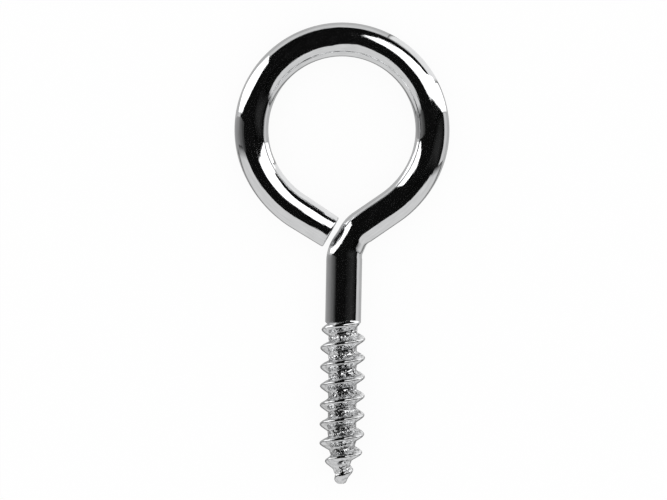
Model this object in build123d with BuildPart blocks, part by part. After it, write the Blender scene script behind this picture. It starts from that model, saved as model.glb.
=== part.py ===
import os
from math import asin, cos, degrees, pi, radians, sin

from build123d import *

# Screw eye: one length of round steel wire, bent to an eye and rolled with a wood-screw thread.
# It lies on its side as it comes to rest, eye towards +Y and point towards -Y, in millimetres.

# Eye
eye_inside = 19.2  # clear diameter inside the eye
eye_wire = 4.42  # wire round the eye
eye_offset = 0.62  # eye centre, to the left of the shank axis

# Leg that carries the eye, and the short neck between it and the shank
leg_slope = 35.5  # degrees below level
leg_wire = 4.46
neck_slope = 61.4  # degrees below level
neck_wire = 4.3
neck_length = 3.6  # between the corners of its two bends
upper_inside = 2.5  # inside radius where the leg turns into the neck
lower_inside = 0.1  # inside radius where the neck turns into the shank, pressed almost sharp

# Free end of the wire
free_slope = 31.5  # degrees below level
free_wire = 4.0  # squeezed thinner by the shears
free_gap = 0.75  # between the sheared end and the neck
free_edge = 0.22  # bevel worn round the sheared end by tumbling

# Shank
shank_wire = 4.67
shank_length = 9.39  # corner of the lower bend down to the shoulder
shoulder_cone = 0.5  # length of the cone on the end of the shank
shoulder_ledge = 0.12  # flat left between the cone and the core
core_root = 1.3  # how far the core is rooted in the shank

# Thread, right-handed
thread_length = 20.77  # shoulder down to the tip
thread_pitch = 2.48
core_step = 0.445  # from the surface of the shank in to the core
tooth_height = 1.06
tooth_share = 0.8  # share of the pitch that the tooth takes, root fillets included
run_in = 1.1  # length over which the tooth rises from the shoulder
point_length = 5.6  # length over which the crest closes in to the tip
point_curve = 1.3  # 1 makes a full, round point, more makes it slimmer
point_size = 1.45  # crest diameter left at the tip
core_taper = 5.4  # length over which the core narrows to the tip
tip_size = 1.3
tip_round = 0.5
turn_sections = 8  # cross-sections in one turn of the thread
section_points = 12  # points round each cross-section
tip_sections = 3  # cross-sections in the rounding of the tip

eye_radius = (eye_inside + eye_wire) / 2
core_size = shank_wire - 2 * core_step
crest_size = core_size + 2 * tooth_height
upper_bend = upper_inside + leg_wire / 2
lower_bend = lower_inside + shank_wire / 2


def heading(angle):
    return Vector(cos(radians(angle)), sin(radians(angle)))


def wire_plane(stretch, share):
    # plane square to the wire, at the start (0) or the end (1) of a stretch of it
    return Plane(stretch @ share, x_dir=(0, 0, 1), z_dir=stretch % share)


def thread_radius(travel, angle):
    # surface of the thread, this far down from the shoulder and this many degrees round the core
    left = thread_length - travel
    rise = sin(pi / 2 * min(1, max(0, travel / run_in)))
    closing = sin(pi / 2 * min(1, left / point_length)) ** point_curve
    core_here = (tip_size + (core_size - tip_size) * min(1, left / core_taper)) / 2
    crest_here = (point_size + (crest_size - point_size) * closing) / 2
    turns_off_crest = (angle - 90) / 360 - travel / thread_pitch
    turns_off_crest = abs(turns_off_crest - round(turns_off_crest))
    tooth = (1 + cos(2 * pi * min(0.5, turns_off_crest / tooth_share))) / 2
    return core_here + (crest_here - core_here) * rise * tooth


# Centreline of the wire, with the centre of the eye on the origin
free_turn = 270 - free_slope
leg_start = heading(leg_slope - 90) * eye_radius
leg_reach = leg_start.X - eye_offset - neck_length * cos(radians(neck_slope))
upper_corner = leg_start - heading(leg_slope) * (leg_reach / cos(radians(leg_slope)))
lower_corner = upper_corner - heading(neck_slope) * neck_length
shoulder = lower_corner - Vector(0, shank_length)
with BuildLine():
    eye_arc = CenterArc((0, 0), eye_radius, free_turn, leg_slope - 90 - free_turn)
    bent_leg = FilletPolyline(
        leg_start,
        upper_corner,
        lower_corner,
        shoulder,
        radius=(upper_bend, lower_bend),
    )

# Wire: even round the eye, then each stretch of the leg is swept from the circle at its start
# to the circle at its end
sizes = [eye_wire, leg_wire, neck_wire, neck_wire, shank_wire, shank_wire]
with BuildPart() as wire:
    with BuildSketch(wire_plane(eye_arc, 0)):
        Circle(eye_wire / 2)
    sweep(path=eye_arc)
    for stretch, start_size, end_size in zip(bent_leg.order_edges(), sizes, sizes[1:]):
        with BuildSketch(wire_plane(stretch, 0)):
            Circle(start_size / 2)
        with BuildSketch(wire_plane(stretch, 1)):
            Circle(end_size / 2)
        sweep(path=stretch, multisection=True)
    shoulder_rim = wire.edges().sort_by(Axis.Y)[0]
    chamfer(shoulder_rim, length=shoulder_cone, length2=core_step - shoulder_ledge)

# Free leg: it narrows to its sheared end, which stands parallel to the neck
free_way = heading(-free_slope)
free_start = heading(free_turn) * eye_radius
shear_side = heading(neck_slope + 90)
shear_point = lower_corner + shear_side * (neck_wire / 2 + free_gap)
free_length = (shear_point - free_start).dot(shear_side) / free_way.dot(shear_side)
long_end = free_start + free_way * (free_length + free_wire / 4)
with BuildPart() as free_leg:
    with BuildSketch(Plane(free_start, x_dir=(0, 0, 1), z_dir=free_way)):
        Circle(eye_wire / 2)
    with BuildSketch(Plane(long_end, x_dir=(0, 0, 1), z_dir=free_way)):
        Circle(free_wire / 2)
    loft()
    split(bisect_by=Plane(shear_point, x_dir=(0, 0, 1), z_dir=shear_side), keep=Keep.TOP)
    sheared_rim = free_leg.edges().sort_by(Axis(free_start, free_way))[-1]
    chamfer(sheared_rim, length=free_edge)

# Thread: lofted up from the tip through its cross-sections, a cam shape turning once a pitch
straight_length = core_root + thread_length - tip_round
straight_sections = round(straight_length / thread_pitch * turn_sections)
travels = [straight_length * n / straight_sections - core_root for n in range(straight_sections)]
cutbacks = [0] * straight_sections
for n in range(tip_sections + 1):
    round_turn = pi / 2 * n / (tip_sections + 1)
    travels.append(thread_length - tip_round + tip_round * sin(round_turn))
    cutbacks.append(tip_round * (1 - cos(round_turn)))
point_angles = [360 * n / section_points for n in range(section_points + 1)]
with BuildPart() as thread:
    for travel, cutback in zip(reversed(travels), reversed(cutbacks)):
        centre = shoulder - Vector(0, travel)
        with BuildSketch(Plane(centre, x_dir=(1, 0, 0), z_dir=(0, -1, 0))):
            with BuildLine():
                outline = [
                    heading(angle) * (thread_radius(travel, angle) - cutback)
                    for angle in point_angles[:-1]
                ]
                add(Edge.make_spline(outline, periodic=True, parameters=point_angles))
            make_face()
    loft(ruled=True)

with BuildPart() as bent_wire:
    add(wire.part)
    add(free_leg.part)
    add(thread.part)

# At rest the screw eye bears on the crown of the eye and on the first full crest underneath
support_length = eye_radius - shoulder.Y + thread_pitch / 2
rest_tilt = degrees(asin((crest_size - eye_wire) / 2 / support_length))
resting = Rot(-rest_tilt, 0, 0) * bent_wire.part
extent = resting.bounding_box()
with BuildPart() as screw_eye:
    with Locations((-extent.center().X, -extent.center().Y, -extent.min.Z)):
        add(resting)

os.makedirs("parts", exist_ok=True)
screw_eye.part.label = "screw_eye"
export_step(screw_eye.part, "parts/screw_eye.step")
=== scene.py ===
from math import asin, cos, hypot, pi, radians, sin, tan

import bmesh
import bpy
from mathutils import Matrix, Vector, kdtree, noise


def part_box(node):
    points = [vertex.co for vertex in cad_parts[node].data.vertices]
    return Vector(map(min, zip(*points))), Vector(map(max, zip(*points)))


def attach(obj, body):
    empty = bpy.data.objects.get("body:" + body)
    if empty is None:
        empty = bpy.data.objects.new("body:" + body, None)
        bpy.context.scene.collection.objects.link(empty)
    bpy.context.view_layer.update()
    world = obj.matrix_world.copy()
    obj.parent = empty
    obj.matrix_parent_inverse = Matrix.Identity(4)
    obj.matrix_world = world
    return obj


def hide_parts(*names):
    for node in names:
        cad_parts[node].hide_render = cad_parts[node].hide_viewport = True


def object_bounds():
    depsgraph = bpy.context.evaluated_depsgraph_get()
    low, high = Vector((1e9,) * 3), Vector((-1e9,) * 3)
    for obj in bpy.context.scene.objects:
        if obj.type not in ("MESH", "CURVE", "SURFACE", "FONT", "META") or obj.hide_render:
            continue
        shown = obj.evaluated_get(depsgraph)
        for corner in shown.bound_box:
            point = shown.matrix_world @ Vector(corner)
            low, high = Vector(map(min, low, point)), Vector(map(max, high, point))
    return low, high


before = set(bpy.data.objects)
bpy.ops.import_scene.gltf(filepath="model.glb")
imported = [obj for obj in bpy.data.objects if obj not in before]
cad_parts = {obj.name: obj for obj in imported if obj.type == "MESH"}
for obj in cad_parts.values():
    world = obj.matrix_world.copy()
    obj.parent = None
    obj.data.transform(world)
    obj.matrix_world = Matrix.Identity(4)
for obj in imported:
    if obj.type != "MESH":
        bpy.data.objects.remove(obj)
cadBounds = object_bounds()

scene = bpy.context.scene
mm = 0.001


def toObject(bm, name):
    mesh = bpy.data.meshes.new(name)
    bm.to_mesh(mesh)
    bm.free()
    piece = bpy.data.objects.new(name, mesh)
    scene.collection.objects.link(piece)
    return piece


def heading(degrees):
    return Vector((cos(radians(degrees)), sin(radians(degrees)), 0))


# The bent wire is in millimetres and lies flat, with the middle of the eye at the origin.
# Slopes are degrees below level, and wire sizes are the width seen from above and the depth.
bentWire = {
    "eyeInside": 19.2,
    "eyeWire": (4.42, 4.42),
    "eyeOffset": 0.62,  # eye to the left of the shank
    "legSlope": 35.5,
    "legWire": (4.42, 4.44),
    "neckSlope": 62.4,
    "neckTop": (4.12, 4.46),  # pinched on the sides by the bending tool
    "neckFoot": (4.36, 4.5),
    "neckLength": 3.1,
    "upperInside": 1.4,  # inside radius of the bend from the leg to the neck
    "lowerInside": 1.3,  # and of the bend from the neck to the shank
    "freeSlope": 31.5,
    "freeWire": (4.3, 4.3),
    "freeFoot": (4.56, 4.42),  # where the free leg meets the eye
    "slackTurn": 30,  # the eye opens out a little over its last degrees before each leg
    "freeSlackRadius": 13.6,
    "legSlackRadius": 12.81,
    "shearSlope": 61.4,
    "shearWaste": 1.075,  # length that the shears take off
    "freeGap": 0.75,  # left open between the free end and the neck
    "freeRound": 0.22,
    "heelWire": (4.68, 4.53),  # bulged just under the bend
    "heelLength": 3.0,
    "shankWire": (4.67, 4.56),
    "shankLength": 9.405,
    "shoulderCone": 0.28,
    "shoulderSize": (4.0, 3.9),  # small end of the cone
    "sides": 72,
    "bendStep": 2.5,  # degrees from ring to ring in a bend
    "endStep": 0.3,  # last ring of a straight run stands this far from the bend
    "sharpAngle": 40,  # edges sharper than this, in degrees, stay crisp
}

# The thread is in millimetres too, and is measured down from the shoulder where the shank ends.
woodThread = {
    "length": 20.77,
    "lean": 0.5,  # degrees that the thread is bent to the right of the shank
    "pitch": 2.48,
    "core": 3.78,
    "crest": 5.85,
    "share": 0.7,  # share of the pitch that the tooth takes
    "crestLand": 0.03,  # flat on the crest, as a share of the tooth
    "crestRound": (0.36, 0.62),  # below and above it: rolled over more on the side of the eye
    "flankHollow": 1.1,
    "rooted": 1.3,  # how far the core reaches up into the shank
    "runIn": (-1.09, 1.54),  # the tooth rises between these
    "pointLength": 5.6,
    "pointCurve": 1.3,
    "pointSize": 1.45,  # what is left of the crest at the tip
    "coreTaper": 5.4,
    "tipSize": 1.3,
    "tipRound": 0.5,
    "tipCut": 0.01,  # the tip ends flat, this far short of its full length
    "turnSteps": 96,
    "profilePoints": 28,
    "crestSpacing": 0.4,  # spacing of the profile's points at the crest, where 1 is even
    "lumps": {"size": 0.7, "depth": 0.16, "mean": 0.3, "swing": 0.6, "shift": (0, 0, 0)},
    "nicks": {"size": 0.3, "depth": 0.14, "mean": 0.4, "swing": 0.6, "shift": (7, 3, 5)},
    "markShare": 1.1,  # share of the marks in the root, and 1 less on the crest
    "marksStart": (-0.3, 0.3),  # the marks grow in between these
    "marksEnd": 0.8,  # and fade out over this length at the tip
}

eyeRadius = (bentWire["eyeInside"] + bentWire["eyeWire"][0]) / 2
legSlackSide = heading(bentWire["legSlope"] - 90 + bentWire["slackTurn"])
legSlackMiddle = legSlackSide * (eyeRadius - bentWire["legSlackRadius"])
legStart = legSlackMiddle + heading(bentWire["legSlope"] - 90) * bentWire["legSlackRadius"]
neckReach = bentWire["neckLength"] * cos(radians(bentWire["neckSlope"]))
legReach = legStart.x - bentWire["eyeOffset"] - neckReach
legLength = legReach / cos(radians(bentWire["legSlope"]))
upperCorner = legStart - heading(bentWire["legSlope"]) * legLength
lowerCorner = upperCorner - heading(bentWire["neckSlope"]) * bentWire["neckLength"]
shoulder = lowerCorner - Vector((0, bentWire["shankLength"], 0))


def carryRing(bm, state, move, turn, wire):
    # extrude the open end of the wire one step: turn it about the bend's centre, or push it on
    grown = bmesh.ops.extrude_edge_only(bm, edges=state["edges"])["geom"]
    state["edges"] = [e for e in grown if isinstance(e, bmesh.types.BMEdge)]
    verts = [v for v in grown if isinstance(v, bmesh.types.BMVert)]
    if turn:
        side = Vector((-state["way"].y, state["way"].x, 0)) * (1 if turn > 0 else -1)
        pivot = state["centre"] + side * move
        spun = Matrix.Rotation(radians(turn), 3, "Z")
        bmesh.ops.rotate(bm, cent=pivot, matrix=spun, verts=verts)
        state["centre"] = pivot + spun @ (state["centre"] - pivot)
        state["way"] = spun @ state["way"]
        gone = move * abs(radians(turn))
    else:
        bmesh.ops.translate(bm, vec=state["way"] * move, verts=verts)
        state["centre"] = state["centre"] + state["way"] * move
        gone = move
    widen, deepen = wire[0] / state["wire"][0], wire[1] / state["wire"][1]
    bmesh.ops.scale(bm, vec=(widen, widen, deepen), space=Matrix.Translation(-state["centre"]), verts=verts)
    state["wire"] = wire
    state["along"] += gone
    for v in verts:
        v[state["place"]] = Vector((v[state["place"]].x, v[state["place"]].y, state["along"]))


def between(start, end, share):
    return tuple(a + (b - a) * share for a, b in zip(start, end))


def straightRun(bm, state, length, wire):
    start = state["wire"]
    ends = min(bentWire["endStep"], length / 3)
    for step, share in ((ends, ends / length), (length - 2 * ends, 1 - ends / length), (ends, 1)):
        carryRing(bm, state, step, 0, between(start, wire, share))


def bend(bm, state, radius, turn, wire):
    steps = max(2, round(abs(turn) / bentWire["bendStep"]))
    start = state["wire"]
    for n in range(steps):
        carryRing(bm, state, radius, turn / steps, between(start, wire, (n + 1) / steps))


def shearFreeEnd(bm, point, side):
    # the free end is sheared parallel to the neck, and its edge is broken by tumbling
    cut = bmesh.ops.bisect_plane(
        bm, geom=bm.verts[:] + bm.edges[:] + bm.faces[:], dist=1e-5,
        plane_co=point, plane_no=-side, clear_outer=True,
    )["geom_cut"]
    rim = [e for e in cut if isinstance(e, bmesh.types.BMEdge)]
    bmesh.ops.edgeloop_fill(bm, edges=rim)
    bmesh.ops.bevel(
        bm, geom=rim, offset=bentWire["freeRound"], segments=3, profile=0.5, material=-1, affect="EDGES"
    )


def growWire():
    freeWay = heading(180 - bentWire["freeSlope"])
    slackRadius, slackTurn = bentWire["freeSlackRadius"], bentWire["slackTurn"]
    slackMiddle = heading(270 - bentWire["freeSlope"] - slackTurn) * (eyeRadius - slackRadius)
    freeStart = slackMiddle + heading(270 - bentWire["freeSlope"]) * slackRadius
    shearSide = heading(bentWire["shearSlope"] + 90)
    shearPoint = lowerCorner + shearSide * (bentWire["neckTop"][0] / 2 + bentWire["freeGap"])
    freeLength = (freeStart - shearPoint).dot(shearSide) / freeWay.dot(shearSide) + bentWire["shearWaste"]

    # wirePlace is the way out from the middle of the wire, and its z the length along the wire
    bm = bmesh.new()
    place = bm.verts.layers.float_vector.new("wirePlace")
    state = {
        "centre": freeStart - freeWay * freeLength, "way": freeWay,
        "wire": bentWire["freeWire"], "along": 0, "place": place,
    }
    ring = bmesh.ops.create_circle(
        bm, segments=bentWire["sides"], radius=bentWire["freeWire"][0] / 2)["verts"]
    for v in ring:
        v[place] = v.co.normalized()
    turned = Matrix.Rotation(radians(180 - bentWire["freeSlope"]), 4, "Z")
    stand = Matrix.Translation(state["centre"]) @ turned
    bmesh.ops.transform(bm, matrix=stand @ Matrix.Rotation(radians(90), 4, "Y"), verts=ring)
    state["edges"] = bm.edges[:]

    # the free leg is grown in one length, and sheared before anything else stands past the cut
    carryRing(bm, state, freeLength - bentWire["endStep"], 0, bentWire["freeFoot"])
    shearFreeEnd(bm, shearPoint, shearSide)
    carryRing(bm, state, bentWire["endStep"], 0, bentWire["freeFoot"])

    # over the eye to the right leg
    eyeTurn = 360 - bentWire["freeSlope"] - bentWire["legSlope"] - 2 * slackTurn
    bend(bm, state, slackRadius, -slackTurn, bentWire["eyeWire"])
    bend(bm, state, eyeRadius, -eyeTurn, bentWire["eyeWire"])
    bend(bm, state, bentWire["legSlackRadius"], -slackTurn, bentWire["eyeWire"])

    # down the leg and through the neck to the shoulder
    upperBend = bentWire["upperInside"] + bentWire["legWire"][0] / 2
    lowerBend = bentWire["lowerInside"] + bentWire["shankWire"][0] / 2
    upperTurn = bentWire["neckSlope"] - bentWire["legSlope"]
    lowerTurn = 90 - bentWire["neckSlope"]
    upperTangent = upperBend * tan(radians(upperTurn / 2))
    lowerTangent = lowerBend * tan(radians(lowerTurn / 2))
    straightRun(bm, state, (upperCorner - legStart).length - upperTangent, bentWire["legWire"])
    bend(bm, state, upperBend, upperTurn, bentWire["neckTop"])
    straightRun(bm, state, bentWire["neckLength"] - upperTangent - lowerTangent, bentWire["neckFoot"])
    bend(bm, state, lowerBend, lowerTurn, bentWire["heelWire"])
    straightRun(bm, state, bentWire["heelLength"], bentWire["shankWire"])
    straightLength = bentWire["shankLength"] - lowerTangent
    evenLength = straightLength - bentWire["heelLength"] - bentWire["shoulderCone"]
    straightRun(bm, state, evenLength, bentWire["shankWire"])
    carryRing(bm, state, bentWire["shoulderCone"], 0, bentWire["shoulderSize"])
    bmesh.ops.edgeloop_fill(bm, edges=state["edges"])

    bmesh.ops.recalc_face_normals(bm, faces=bm.faces[:])
    print("wire grown:", len(bm.verts), "points")
    return toObject(bm, "bentWire")


def tooth(turnsOffCrest):
    # hollow flanks up to a slightly rounded crest, 0 at the root and 1 at the crest
    down = min(1, 2 * abs(turnsOffCrest) / woodThread["share"])
    down = max(0, down - woodThread["crestLand"]) / (1 - woodThread["crestLand"])
    blunt = woodThread["crestRound"][0 if turnsOffCrest > 0 else 1]
    worn = (hypot(down, blunt) - blunt) / (hypot(1, blunt) - blunt)
    return (1 - worn) ** woodThread["flankHollow"]


def spinThread():
    # one pitch of the profile, turned down the axis so that each turn meets the next
    # wirePlace is how far up the tooth a point is, then 0 on the lower flank to 1 on the upper
    bm = bmesh.new()
    place = bm.verts.layers.float_vector.new("wirePlace")
    points, steps = woodThread["profilePoints"], woodThread["turnSteps"]
    pitch, spacing = woodThread["pitch"], woodThread["crestSpacing"]
    turns = int((woodThread["length"] + woodThread["rooted"]) / pitch) + 3
    first = bm.verts.new((0, -1 - tooth(-0.5), 2 * pitch + pitch / 2))
    first[place] = Vector((tooth(-0.5), 0.5, 0))
    for n in range(points):
        # each point steps down the profile, and they stand closer together near the crest
        grown = bmesh.ops.extrude_vert_indiv(bm, verts=[first])["verts"][0]
        share = (n + 1) / points - 0.5
        share *= spacing + 2 * (1 - spacing) * abs(share)
        grown.co = Vector((0, -1 - tooth(share), 2 * pitch - pitch * share))
        grown[place] = Vector((tooth(share), 0.5 - 0.5 * sin(2 * pi * share), 0))
        first = grown
    bmesh.ops.spin(
        bm, geom=bm.verts[:] + bm.edges[:], cent=(0, 0, 0), axis=(0, 0, 1), dvec=(0, 0, -pitch / steps),
        angle=-2 * pi * turns, steps=steps * turns,
    )
    bmesh.ops.remove_doubles(bm, verts=bm.verts[:], dist=0.01)
    for end, side in ((woodThread["rooted"], 1), (woodThread["tipCut"] - woodThread["length"], -1)):
        cut = bmesh.ops.bisect_plane(
            bm, geom=bm.verts[:] + bm.edges[:] + bm.faces[:], dist=1e-5,
            plane_co=(0, 0, end), plane_no=(0, 0, side), clear_outer=True,
        )["geom_cut"]
        bmesh.ops.edgeloop_fill(bm, edges=[e for e in cut if isinstance(e, bmesh.types.BMEdge)])
    bmesh.ops.recalc_face_normals(bm, faces=bm.faces[:])

    # take it to its real radii: core and crest close in to the point, and the tooth rises at the shoulder
    halfCore, halfCrest = woodThread["core"] / 2, woodThread["crest"] / 2
    tipHalf, pointHalf = woodThread["tipSize"] / 2, woodThread["pointSize"] / 2
    runFrom, runTo = woodThread["runIn"]
    for v in bm.verts:
        around = hypot(v.co.x, v.co.y)
        down = -v.co.z
        left = woodThread["length"] - down
        rise = sin(pi / 2 * min(1, max(0, (down - runFrom) / (runTo - runFrom))))
        closing = sin(pi / 2 * max(0, min(1, left / woodThread["pointLength"])))
        closing **= woodThread["pointCurve"]
        core = tipHalf + (halfCore - tipHalf) * min(1, left / woodThread["coreTaper"])
        crest = pointHalf + (halfCrest - pointHalf) * closing
        radius = core + (crest - core) * rise * (around - 1)
        inTip = max(0, 1 - left / woodThread["tipRound"])
        radius -= woodThread["tipRound"] * (1 - cos(asin(min(1, inTip))))
        v.co = Vector((v.co.x / around * radius, v.co.y / around * radius, v.co.z))
    bm.normal_update()

    # rolled steel: shallow lumps and nicks, which leave the crest and the lower flank smooth
    marksFrom, marksTo = woodThread["marksStart"]
    for v in bm.verts:
        start = max(0, (-v.co.z - marksFrom) / (marksTo - marksFrom))
        end = max(0, (woodThread["length"] + v.co.z) / woodThread["marksEnd"])
        rough = (woodThread["markShare"] - v[place].x) * v[place].y
        sink = 0
        for marks in (woodThread["lumps"], woodThread["nicks"]):
            pattern = noise.noise(v.co / marks["size"] + Vector(marks["shift"]))
            sink += marks["depth"] * (marks["mean"] - marks["swing"] * pattern)
        v.co -= v.normal * sink * rough * min(1, start, end)
    stand = Matrix.Translation(shoulder) @ Matrix.Rotation(radians(woodThread["lean"]), 4, "Z")
    bmesh.ops.transform(bm, matrix=stand @ Matrix.Rotation(radians(-90), 4, "X"), verts=bm.verts[:])
    print("thread spun:", len(bm.verts), "points")
    return toObject(bm, "woodThread")


def weldOn(piece, other):
    # the union mixes up the places, so each point takes the place of the nearest one before it
    known = []
    for part in (piece.data, other.data):
        places = part.attributes["wirePlace"].data
        known += [(v.co.copy(), place.vector.copy()) for v, place in zip(part.vertices, places)]
    nearest = kdtree.KDTree(len(known))
    for n, (spot, _) in enumerate(known):
        nearest.insert(spot, n)
    nearest.balance()
    join = piece.modifiers.new("join", "BOOLEAN")
    join.operation = "UNION"
    join.solver = "EXACT"
    join.object = other
    bpy.context.view_layer.update()
    joined = bpy.data.meshes.new_from_object(piece.evaluated_get(bpy.context.evaluated_depsgraph_get()))
    for v, place in zip(joined.vertices, joined.attributes["wirePlace"].data):
        place.vector = known[nearest.find(v.co)[1]][1]
    piece.modifiers.clear()
    piece.data = joined
    bpy.data.objects.remove(other)


def layDown(piece):
    # at rest it bears on the crown of the eye and on a crest underneath
    low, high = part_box("screw_eye")
    support = eyeRadius - shoulder.y + woodThread["pitch"] / 2
    tilt = asin((woodThread["crest"] - bentWire["eyeWire"][1]) / 2 / support)
    piece.data.transform(Matrix.Scale(mm, 4) @ Matrix.Rotation(-tilt, 4, "X"))
    # the crown of the eye sets the top end and the two sides
    eyeTop = mm * (eyeRadius + bentWire["eyeWire"][0] / 2) * cos(tilt)
    eyeDeep = mm * (eyeRadius * sin(tilt) + bentWire["eyeWire"][1] / 2)
    shift = Vector(((low.x + high.x) / 2, high.y - eyeTop, low.z + eyeDeep))
    piece.data.transform(Matrix.Translation(shift))
    return shift


def nodesOf(name):
    finish = bpy.data.materials.new(name)
    finish.use_nodes = True
    nodes = finish.node_tree.nodes
    nodes.clear()
    return finish, nodes, finish.node_tree.links


def noiseAt(finish, place, look):
    fit = finish.node_tree.nodes.new("ShaderNodeMapping")
    fit.inputs["Scale"].default_value = look["stretch"]
    pattern = finish.node_tree.nodes.new("ShaderNodeTexNoise")
    pattern.inputs["Scale"].default_value = look["scale"]
    pattern.inputs["Detail"].default_value = look["detail"]
    finish.node_tree.links.new(place, fit.inputs["Vector"])
    finish.node_tree.links.new(fit.outputs[0], pattern.inputs["Vector"])
    return pattern.outputs["Fac"]


def raised(finish, height, depth, under=None):
    bump = finish.node_tree.nodes.new("ShaderNodeBump")
    bump.inputs["Strength"].default_value = 1
    bump.inputs["Distance"].default_value = depth
    finish.node_tree.links.new(height, bump.inputs["Height"])
    if under:
        finish.node_tree.links.new(under, bump.inputs["Normal"])
    return bump.outputs[0]


def ranged(finish, value, low, high, toLow, toHigh):
    spread = finish.node_tree.nodes.new("ShaderNodeMapRange")
    for name, number in (("From Min", low), ("From Max", high), ("To Min", toLow), ("To Max", toHigh)):
        spread.inputs[name].default_value = number
    finish.node_tree.links.new(value, spread.inputs["Value"])
    return spread.outputs[0]


def multiplied(finish, one, other):
    product = finish.node_tree.nodes.new("ShaderNodeMath")
    product.operation = "MULTIPLY"
    finish.node_tree.links.new(one, product.inputs[0])
    finish.node_tree.links.new(other, product.inputs[1])
    return product.outputs[0]


def toned(finish, value, steps):
    tone = finish.node_tree.nodes.new("ShaderNodeValToRGB")
    for position, _ in steps[1:-1]:
        tone.color_ramp.elements.new(position)
    for element, (position, colour) in zip(tone.color_ramp.elements, steps):
        element.position = position
        element.color = (*colour, 1)
    finish.node_tree.links.new(value, tone.inputs[0])
    return tone.outputs[0]


def platedFinish(name):
    finish, nodes, links = nodesOf(name)
    out = nodes.new("ShaderNodeOutputMaterial")
    metal = nodes.new("ShaderNodeBsdfPrincipled")
    metal.inputs["Metallic"].default_value = 1
    links.new(metal.outputs[0], out.inputs[0])
    wirePlace = nodes.new("ShaderNodeAttribute")
    wirePlace.attribute_name = "wirePlace"
    onShape = nodes.new("ShaderNodeTexCoord")
    return finish, metal, wirePlace.outputs["Vector"], onShape.outputs["Object"]


# bright plate over drawn wire, with faint streaks along it; depths are in metres
wireLook = {
    "haze": {"stretch": (1.6, 1.6, 0.12), "scale": 5.0, "detail": 4.0},
    "roughness": (0.02, 0.08),
    "tones": ((0.3, (0.76, 0.765, 0.77)), (0.7, (0.88, 0.885, 0.89))),
    "streaks": {"stretch": (1, 1, 0.02), "scale": 11.0, "detail": 3.0},
    "streakDepth": 0.000008,
    "ripple": {"stretch": (1, 1, 1), "scale": 900.0, "detail": 2.0},
    "rippleDepth": 0.0000035,
}


def wireFinish():
    finish, metal, alongWire, onShape = platedFinish("platedWire")
    links = finish.node_tree.links
    haze = noiseAt(finish, alongWire, wireLook["haze"])
    links.new(ranged(finish, haze, 0, 1, *wireLook["roughness"]), metal.inputs["Roughness"])
    links.new(toned(finish, haze, wireLook["tones"]), metal.inputs["Base Color"])
    streaked = raised(finish, noiseAt(finish, alongWire, wireLook["streaks"]), wireLook["streakDepth"])
    rippled = raised(finish, noiseAt(finish, onShape, wireLook["ripple"]), wireLook["rippleDepth"], streaked)
    links.new(rippled, metal.inputs["Normal"])
    return finish


# the same plate over rolled steel, pitted in the roots and on the upper flanks
threadLook = {
    "start": 0.02,  # the finish starts this many millimetres below the shoulder
    "blotches": {"stretch": (1, 1, 1), "scale": 2400.0, "detail": 3.0},
    "tones": ((0.36, (0.52, 0.52, 0.52)), (0.46, (0.69, 0.695, 0.7)), (0.62, (0.85, 0.855, 0.86))),
    "pits": {"stretch": (1, 1, 1), "scale": 1600.0, "detail": 1.5},
    "pitDepth": 0.00045,
    # each gives two places on the tooth, then the value at each of them
    "roughnessUpTooth": (0.3, 0.85, 0.12, 0.05),
    "pitsUpTooth": (0.4, 0.75, 1, 0.03),
    "pitsAcrossTooth": (0.28, 0.6, 0.04, 1),
}


def threadFinish():
    finish, metal, onTooth, onShape = platedFinish("platedThread")
    links = finish.node_tree.links
    split = finish.node_tree.nodes.new("ShaderNodeSeparateXYZ")
    links.new(onTooth, split.inputs[0])
    upTooth, acrossTooth = split.outputs["X"], split.outputs["Y"]
    links.new(ranged(finish, upTooth, *threadLook["roughnessUpTooth"]), metal.inputs["Roughness"])
    blotches = noiseAt(finish, onShape, threadLook["blotches"])
    links.new(toned(finish, blotches, threadLook["tones"]), metal.inputs["Base Color"])
    pitShare = ranged(finish, upTooth, *threadLook["pitsUpTooth"])
    pitShare = multiplied(finish, pitShare, ranged(finish, acrossTooth, *threadLook["pitsAcrossTooth"]))
    pits = ranged(finish, noiseAt(finish, onShape, threadLook["pits"]), 0, 1, -0.5, 0.5)
    pits = multiplied(finish, pits, pitShare)
    links.new(raised(finish, pits, threadLook["pitDepth"]), metal.inputs["Normal"])
    return finish


screwEye = growWire()
weldOn(screwEye, spinThread())
print("screw eye joined:", len(screwEye.data.polygons), "faces")
screwEye.name = screwEye.data.name = "screwEye"
screwEye.data.materials.clear()
screwEye.data.materials.append(wireFinish())
screwEye.data.materials.append(threadFinish())
for face in screwEye.data.polygons:
    face.use_smooth = True
    face.material_index = 1 if face.center.y < shoulder.y - threadLook["start"] else 0
screwEye.data.set_sharp_from_angle(angle=radians(bentWire["sharpAngle"]))
eyeMiddle = layDown(screwEye)
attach(screwEye, "root")
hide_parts("screw_eye")
print("screw eye plated and laid down")

studio = {
    "floorSide": 1.6,
    "floorColour": (0.94, 0.94, 0.94),
    "floorGlow": 0.92,  # share of plain white that the camera sees in the floor
    "cardDistance": 3.0,
    "cardStep": 0.02,  # each card hangs this share of it nearer than the one before
    # painted reflection of a room that only the metal sees, by height above level: -1 straight down, 1
    # straight up
    "room": (
        (-1, 0.42), (-0.87, 0.48), (-0.68, 0.54), (-0.6, 0.36), (-0.52, 0.58), (-0.03, 0.68), (0.04, 0.0036),
        (1, 0.0036)),
}
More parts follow.
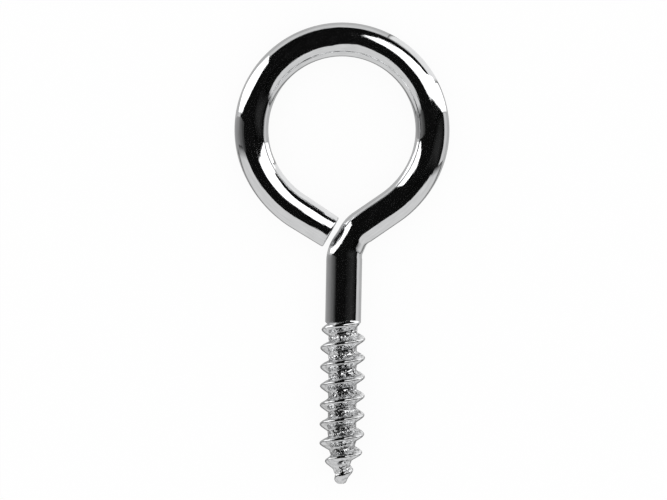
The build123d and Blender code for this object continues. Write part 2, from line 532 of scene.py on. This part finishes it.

# Cards that only the metal sees: painted reflections of softboxes, walls and floor, which light nothing
# else.
# Each corner has its bearing from +X, its height above level, both in degrees, and its share of the glow.
# The edge fades out over some of the way in from the corners.
reflectionCards = {
    "rightWallReflection": {"glow": 0.022, "fade": 0.7, "corners": (
        (338, 4, 1), (345, 86, 1), (30, 86, 1), (14, 4, 1))},
    "rightSoftboxReflection": {"glow": 1.7, "fade": 0.04, "corners": (
        (13.5, -45, 1), (13.5, 6, 1), (16, 18, 1), (25, 53, 1), (38, 76, 1), (58, 76, 1), (79, 56, 1),
        (80, 46, 1), (72, 35, 1), (48, 25, 1), (34, 10, 1), (30, -45, 1))},
    "rightFloorReflection": {"glow": 0.88, "fade": 0.1, "corners": (
        (30, -82, 1), (30, 0, 1), (50, 2, 1), (66, 0, 1), (66, -82, 1))},
    "leftSoftboxReflection": {"glow": 1.7, "fade": 0.03, "corners": (
        (133, -12, 1), (136, 30, 1), (149, 41, 1), (160, 31, 1), (169, 10, 1), (169, -22, 1), (158, -34, 1),
        (148, -34, 1))},
    "lowWallReflection": {"glow": 0.7, "fade": 0.16, "corners": (
        (186, -30, 1), (188, 26, 1), (210, 35, 1), (240, 49, 1), (258, 60, 1), (271, 55, 1), (284, 42, 1),
        (306, 46, 1), (326, 39, 1), (341, 24, 1), (347, -30, 1))},
    "leftWallReflection": {"glow": 0.44, "fade": 0, "corners": (
        (171, -60, 0.9), (171, -12, 0.7), (171, 10, 0.3), (173, 38, 0.04), (190, 38, 0.04), (192, 10, 0.3),
        (192, -12, 0.7), (192, -60, 0.9))},
    "lowDarkReflection": {"glow": 0.2, "fade": 0, "corners": (
        (262, -20, 1), (262, 44, 1), (281, 44, 1), (281, -20, 1))},
}


def glowFinish(name, glow):
    finish, nodes, links = nodesOf(name)
    out = nodes.new("ShaderNodeOutputMaterial")
    light = nodes.new("ShaderNodeEmission")
    share = nodes.new("ShaderNodeAttribute")
    share.attribute_name = "glowShare"
    dimmed = nodes.new("ShaderNodeMath")
    dimmed.operation = "MULTIPLY"
    dimmed.inputs[1].default_value = glow
    links.new(share.outputs["Fac"], dimmed.inputs[0])
    links.new(dimmed.outputs[0], light.inputs["Strength"])
    links.new(light.outputs[0], out.inputs[0])
    return finish


def hangCard(name, card, distance):
    bm = bmesh.new()
    glowShare = bm.verts.layers.float.new("glowShare")
    ways = [
        Vector((*(heading(bearing) * cos(radians(height))).xy, sin(radians(height))))
        for bearing, height, _ in card["corners"]
    ]
    hubWay = sum(ways, Vector()).normalized()
    hub = bm.verts.new(hubWay * distance)
    hub[glowShare] = sum(corner[2] for corner in card["corners"]) / len(ways)
    rim, inner = [], []
    for way, corner in zip(ways, card["corners"]):
        inner.append(bm.verts.new(way.lerp(hubWay, card["fade"]).normalized() * distance))
        inner[-1][glowShare] = corner[2]
        rim.append(bm.verts.new(way * distance))
        rim[-1][glowShare] = 0
    for n in range(len(ways)):
        bm.faces.new((inner[n - 1], inner[n], hub))
        if card["fade"]:
            bm.faces.new((rim[n - 1], rim[n], inner[n], inner[n - 1]))
    piece = toObject(bm, name)
    piece.data.materials.append(glowFinish(name + "Glow", card["glow"]))
    # the card shows only in the metal as a painted reflection; it lights nothing and casts no shadow
    piece.visible_camera = piece.visible_diffuse = piece.visible_shadow = False
    piece.visible_transmission = piece.visible_volume_scatter = False


for count, (name, card) in enumerate(reflectionCards.items()):
    hangCard(name, card, studio["cardDistance"] * (1 - studio["cardStep"] * count))
print("cards hung:", len(reflectionCards))


def paperFinish():
    # matt to the light, and nearly plain white to the camera
    finish, nodes, links = nodesOf("whitePaper")
    out = nodes.new("ShaderNodeOutputMaterial")
    matt = nodes.new("ShaderNodeBsdfDiffuse")
    matt.inputs["Color"].default_value = (*studio["floorColour"], 1)
    white = nodes.new("ShaderNodeEmission")
    seen = nodes.new("ShaderNodeLightPath")
    part = nodes.new("ShaderNodeMath")
    part.operation = "MULTIPLY"
    part.inputs[1].default_value = studio["floorGlow"]
    mix = nodes.new("ShaderNodeMixShader")
    links.new(seen.outputs["Is Camera Ray"], part.inputs[0])
    links.new(part.outputs[0], mix.inputs[0])
    links.new(matt.outputs[0], mix.inputs[1])
    links.new(white.outputs[0], mix.inputs[2])
    links.new(mix.outputs[0], out.inputs[0])
    return finish


floorBm = bmesh.new()
bmesh.ops.create_grid(floorBm, x_segments=1, y_segments=1, size=studio["floorSide"] / 2)
floor = toObject(floorBm, "floor")
floor.location.z = cadBounds[0][2]
# the floor is hidden from the metal, whose reflections below level are painted by the pale room and the
# cards
floor.visible_glossy = False
floor.data.materials.append(paperFinish())

# the room is plain white to the camera and the floor; the metal sees a painted reflection instead, dark
# above and pale below, which lights nothing else
world = bpy.data.worlds.new("room")
scene.world = world
world.use_nodes = True
nodes, links = world.node_tree.nodes, world.node_tree.links
nodes.clear()
out = nodes.new("ShaderNodeOutputWorld")
coords = nodes.new("ShaderNodeTexCoord")
split = nodes.new("ShaderNodeSeparateXYZ")
ramp = nodes.new("ShaderNodeValToRGB")
toShare = nodes.new("ShaderNodeMapRange")
toShare.inputs["From Min"].default_value = -1
for height, _ in studio["room"][1:-1]:
    ramp.color_ramp.elements.new((height + 1) / 2)
for element, (height, glow) in zip(ramp.color_ramp.elements, studio["room"]):
    element.position = (height + 1) / 2
    element.color = (glow, glow, glow, 1)
metalSees = nodes.new("ShaderNodeBackground")
restSees = nodes.new("ShaderNodeBackground")
restSees.inputs["Color"].default_value = (1, 1, 1, 1)
restSees.inputs["Strength"].default_value = 1
seen = nodes.new("ShaderNodeLightPath")
mix = nodes.new("ShaderNodeMixShader")
links.new(coords.outputs["Generated"], split.inputs[0])
links.new(split.outputs["Z"], toShare.inputs["Value"])
links.new(toShare.outputs[0], ramp.inputs[0])
links.new(ramp.outputs[0], metalSees.inputs["Color"])
links.new(seen.outputs["Is Glossy Ray"], mix.inputs[0])
links.new(restSees.outputs[0], mix.inputs[1])
links.new(metalSees.outputs[0], mix.inputs[2])
links.new(mix.outputs[0], out.inputs[0])
print("room lit")

# the camera looks straight down, and is turned a little so that the shank leans as it lies
view = {"centre": (-0.0008, 0.00036), "height": 0.5, "turn": 1.1, "field": 0.087, "sensor": 36}
camera = bpy.data.objects.new("camera", bpy.data.cameras.new("camera"))
scene.collection.objects.link(camera)
camera.data.sensor_width = view["sensor"]
camera.data.lens = view["sensor"] * view["height"] / view["field"]
camera.data.clip_start, camera.data.clip_end = 0.01, 10
camera.location = (*view["centre"], view["height"] + eyeMiddle.z)
camera.rotation_euler = (0, 0, radians(view["turn"]))
scene.camera = camera
scene.view_settings.view_transform = "Standard"
print("camera set")
